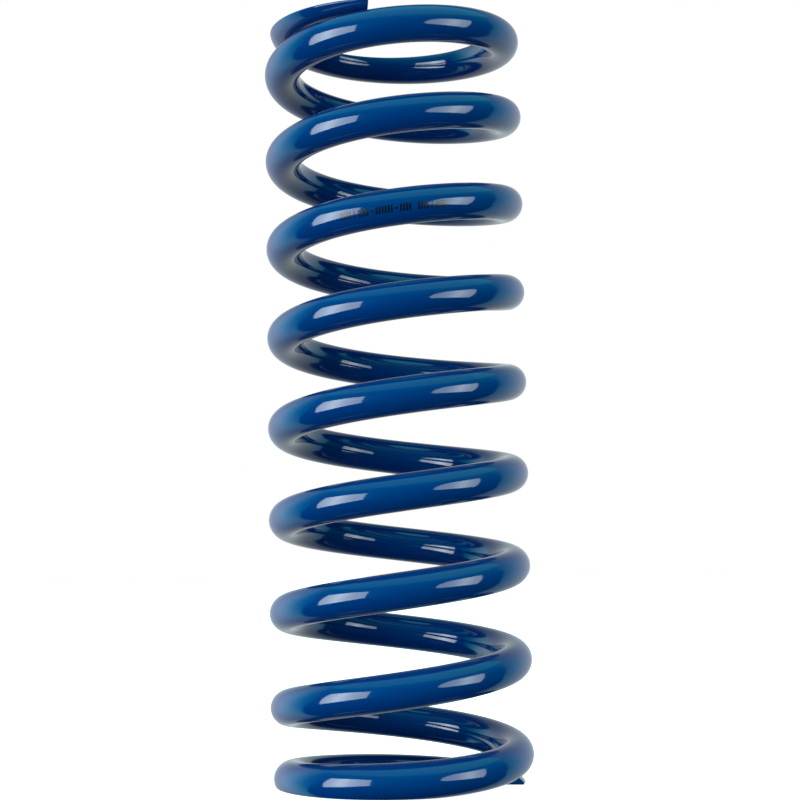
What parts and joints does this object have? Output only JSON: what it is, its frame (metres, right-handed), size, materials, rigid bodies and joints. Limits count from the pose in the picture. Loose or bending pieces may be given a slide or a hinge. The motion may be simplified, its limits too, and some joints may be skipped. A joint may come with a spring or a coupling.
{
  "type": "coil spring",
  "caption": "Right-hand wound cylindrical compression spring of round powder-coated wire for a shock absorber, with closed and ground ends slightly drawn in.",
  "frame": {"origin": "on the spring's axis, in the plane of the lower ground face", "axes": "+Z along the spring's axis, from the lower ground face to the upper one; the lower wire tip lies 10 degrees clockwise of +X seen from above"},
  "size_m": [0.0944, 0.0944, 0.275],
  "materials": {
    "powder_coated_wire": "gloss blue powder coat on spring steel wire"
  },
  "bodies": {
    "root": {"lower_end_coil": "powder_coated_wire", "lower_lead": "powder_coated_wire"},
    "coil_01_stretch": {"coil_01": "powder_coated_wire"},
    "coil_02_stretch": {"coil_02": "powder_coated_wire"},
    "coil_03_stretch": {"coil_03": "powder_coated_wire"},
    "coil_04_stretch": {"coil_04": "powder_coated_wire"},
    "coil_05_stretch": {"coil_05": "powder_coated_wire"},
    "coil_06_stretch": {"coil_06": "powder_coated_wire"},
    "coil_07_stretch": {"coil_07": "powder_coated_wire"},
    "coil_08_stretch": {"coil_08": "powder_coated_wire"},
    "coil_09_stretch": {"coil_09": "powder_coated_wire"},
    "coil_10_stretch": {"coil_10": "powder_coated_wire"},
    "coil_11_stretch": {"coil_11": "powder_coated_wire"},
    "coil_12_stretch": {"coil_12": "powder_coated_wire"},
    "coil_13_stretch": {"coil_13": "powder_coated_wire"},
    "coil_14_stretch": {"coil_14": "powder_coated_wire"},
    "coil_15_stretch": {"coil_15": "powder_coated_wire"},
    "coil_16_stretch": {"coil_16": "powder_coated_wire"},
    "coil_17_stretch": {"coil_17": "powder_coated_wire"},
    "coil_18_stretch": {"coil_18": "powder_coated_wire"},
    "coil_19_stretch": {"coil_19": "powder_coated_wire"},
    "coil_20_stretch": {"coil_20": "powder_coated_wire"},
    "coil_21_stretch": {"coil_21": "powder_coated_wire"},
    "upper_end": {"upper_lead": "powder_coated_wire", "upper_end_coil": "powder_coated_wire"}
  },
  "joints": [
    {"name": "compression", "type": "slide", "parent": "root", "child": "upper_end", "axis": [0, 0, -1], "range_m": [0, 0.132], "stiffness_N_per_m": 66000},
    {"name": "coil_01_travel", "type": "slide", "parent": "root", "child": "coil_01_stretch", "axis": [0, 0, -1], "range_m": [0, 0.006]},
    {"name": "coil_02_travel", "type": "slide", "parent": "root", "child": "coil_02_stretch", "axis": [0, 0, -1], "range_m": [0, 0.012]},
    {"name": "coil_03_travel", "type": "slide", "parent": "root", "child": "coil_03_stretch", "axis": [0, 0, -1], "range_m": [0, 0.018]},
    {"name": "coil_04_travel", "type": "slide", "parent": "root", "child": "coil_04_stretch", "axis": [0, 0, -1], "range_m": [0, 0.024]},
    {"name": "coil_05_travel", "type": "slide", "parent": "root", "child": "coil_05_stretch", "axis": [0, 0, -1], "range_m": [0, 0.03]},
    {"name": "coil_06_travel", "type": "slide", "parent": "root", "child": "coil_06_stretch", "axis": [0, 0, -1], "range_m": [0, 0.036]},
    {"name": "coil_07_travel", "type": "slide", "parent": "root", "child": "coil_07_stretch", "axis": [0, 0, -1], "range_m": [0, 0.042]},
    {"name": "coil_08_travel", "type": "slide", "parent": "root", "child": "coil_08_stretch", "axis": [0, 0, -1], "range_m": [0, 0.048]},
    {"name": "coil_09_travel", "type": "slide", "parent": "root", "child": "coil_09_stretch", "axis": [0, 0, -1], "range_m": [0, 0.054]},
    {"name": "coil_10_travel", "type": "slide", "parent": "root", "child": "coil_10_stretch", "axis": [0, 0, -1], "range_m": [0, 0.06]},
    {"name": "coil_11_travel", "type": "slide", "parent": "root", "child": "coil_11_stretch", "axis": [0, 0, -1], "range_m": [0, 0.066]},
    {"name": "coil_12_travel", "type": "slide", "parent": "root", "child": "coil_12_stretch", "axis": [0, 0, -1], "range_m": [0, 0.072]},
    {"name": "coil_13_travel", "type": "slide", "parent": "root", "child": "coil_13_stretch", "axis": [0, 0, -1], "range_m": [0, 0.078]},
    {"name": "coil_14_travel", "type": "slide", "parent": "root", "child": "coil_14_stretch", "axis": [0, 0, -1], "range_m": [0, 0.084]},
    {"name": "coil_15_travel", "type": "slide", "parent": "root", "child": "coil_15_stretch", "axis": [0, 0, -1], "range_m": [0, 0.09]},
    {"name": "coil_16_travel", "type": "slide", "parent": "root", "child": "coil_16_stretch", "axis": [0, 0, -1], "range_m": [0, 0.096]},
    {"name": "coil_17_travel", "type": "slide", "parent": "root", "child": "coil_17_stretch", "axis": [0, 0, -1], "range_m": [0, 0.102]},
    {"name": "coil_18_travel", "type": "slide", "parent": "root", "child": "coil_18_stretch", "axis": [0, 0, -1], "range_m": [0, 0.108]},
    {"name": "coil_19_travel", "type": "slide", "parent": "root", "child": "coil_19_stretch", "axis": [0, 0, -1], "range_m": [0, 0.114]},
    {"name": "coil_20_travel", "type": "slide", "parent": "root", "child": "coil_20_stretch", "axis": [0, 0, -1], "range_m": [0, 0.12]},
    {"name": "coil_21_travel", "type": "slide", "parent": "root", "child": "coil_21_stretch", "axis": [0, 0, -1], "range_m": [0, 0.126]}
  ],
  "couplings": [
    {"joint": "coil_01_travel", "follows": "compression", "ratio": 0.045455},
    {"joint": "coil_02_travel", "follows": "compression", "ratio": 0.090909},
    {"joint": "coil_03_travel", "follows": "compression", "ratio": 0.13636},
    {"joint": "coil_04_travel", "follows": "compression", "ratio": 0.18182},
    {"joint": "coil_05_travel", "follows": "compression", "ratio": 0.22727},
    {"joint": "coil_06_travel", "follows": "compression", "ratio": 0.27273},
    {"joint": "coil_07_travel", "follows": "compression", "ratio": 0.31818},
    {"joint": "coil_08_travel", "follows": "compression", "ratio": 0.36364},
    {"joint": "coil_09_travel", "follows": "compression", "ratio": 0.40909},
    {"joint": "coil_10_travel", "follows": "compression", "ratio": 0.45455},
    {"joint": "coil_11_travel", "follows": "compression", "ratio": 0.5},
    {"joint": "coil_12_travel", "follows": "compression", "ratio": 0.54545},
    {"joint": "coil_13_travel", "follows": "compression", "ratio": 0.59091},
    {"joint": "coil_14_travel", "follows": "compression", "ratio": 0.63636},
    {"joint": "coil_15_travel", "follows": "compression", "ratio": 0.68182},
    {"joint": "coil_16_travel", "follows": "compression", "ratio": 0.72727},
    {"joint": "coil_17_travel", "follows": "compression", "ratio": 0.77273},
    {"joint": "coil_18_travel", "follows": "compression", "ratio": 0.81818},
    {"joint": "coil_19_travel", "follows": "compression", "ratio": 0.86364},
    {"joint": "coil_20_travel", "follows": "compression", "ratio": 0.90909},
    {"joint": "coil_21_travel", "follows": "compression", "ratio": 0.95455}
  ]
}
